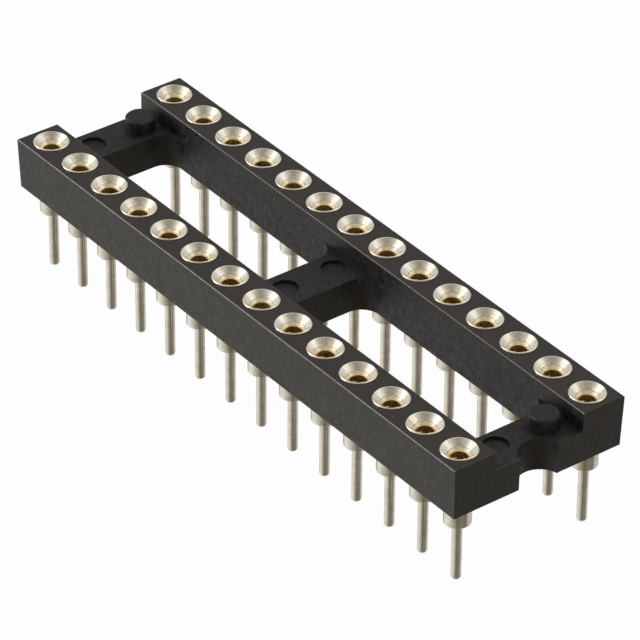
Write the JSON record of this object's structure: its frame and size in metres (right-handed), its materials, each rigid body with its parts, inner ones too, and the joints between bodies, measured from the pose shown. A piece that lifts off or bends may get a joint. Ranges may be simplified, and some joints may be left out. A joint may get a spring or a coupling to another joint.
{
  "type": "ic socket",
  "caption": "Open-frame socket for a dual in line circuit: a black moulded frame with two rows of turned contacts, spacer posts and a polarity notch.",
  "frame": {"origin": "centre of the contact grid on the board plane, where the sleeve collars rest", "axes": "+X along the rows to the notched end, +Y to the side with the posts, +Z out of the contact mouths"},
  "size_m": [0.0354, 0.01, 0.0074],
  "materials": {
    "housing": "finely textured black moulded plastic",
    "sleeve": "turned brass with satin tin plating",
    "clip": "gold plated spring sheet"
  },
  "bodies": {
    "root": {"housing": "housing", "sleeve_01": "sleeve", "sleeve_02": "sleeve", "sleeve_03": "sleeve", "sleeve_04": "sleeve", "sleeve_05": "sleeve", "sleeve_06": "sleeve", "sleeve_07": "sleeve", "sleeve_08": "sleeve", "sleeve_09": "sleeve", "sleeve_10": "sleeve", "sleeve_11": "sleeve", "sleeve_12": "sleeve", "sleeve_13": "sleeve", "sleeve_14": "sleeve", "sleeve_15": "sleeve", "sleeve_16": "sleeve", "sleeve_17": "sleeve", "sleeve_18": "sleeve", "sleeve_19": "sleeve", "sleeve_20": "sleeve", "sleeve_21": "sleeve", "sleeve_22": "sleeve", "sleeve_23": "sleeve", "sleeve_24": "sleeve", "sleeve_25": "sleeve", "sleeve_26": "sleeve", "sleeve_27": "sleeve", "sleeve_28": "sleeve", "clip_01": "clip", "clip_02": "clip", "clip_03": "clip", "clip_04": "clip", "clip_05": "clip", "clip_06": "clip", "clip_07": "clip", "clip_08": "clip", "clip_09": "clip", "clip_10": "clip", "clip_11": "clip", "clip_12": "clip", "clip_13": "clip", "clip_14": "clip", "clip_15": "clip", "clip_16": "clip", "clip_17": "clip", "clip_18": "clip", "clip_19": "clip", "clip_20": "clip", "clip_21": "clip", "clip_22": "clip", "clip_23": "clip", "clip_24": "clip", "clip_25": "clip", "clip_26": "clip", "clip_27": "clip", "clip_28": "clip"}
  },
  "joints": []
}
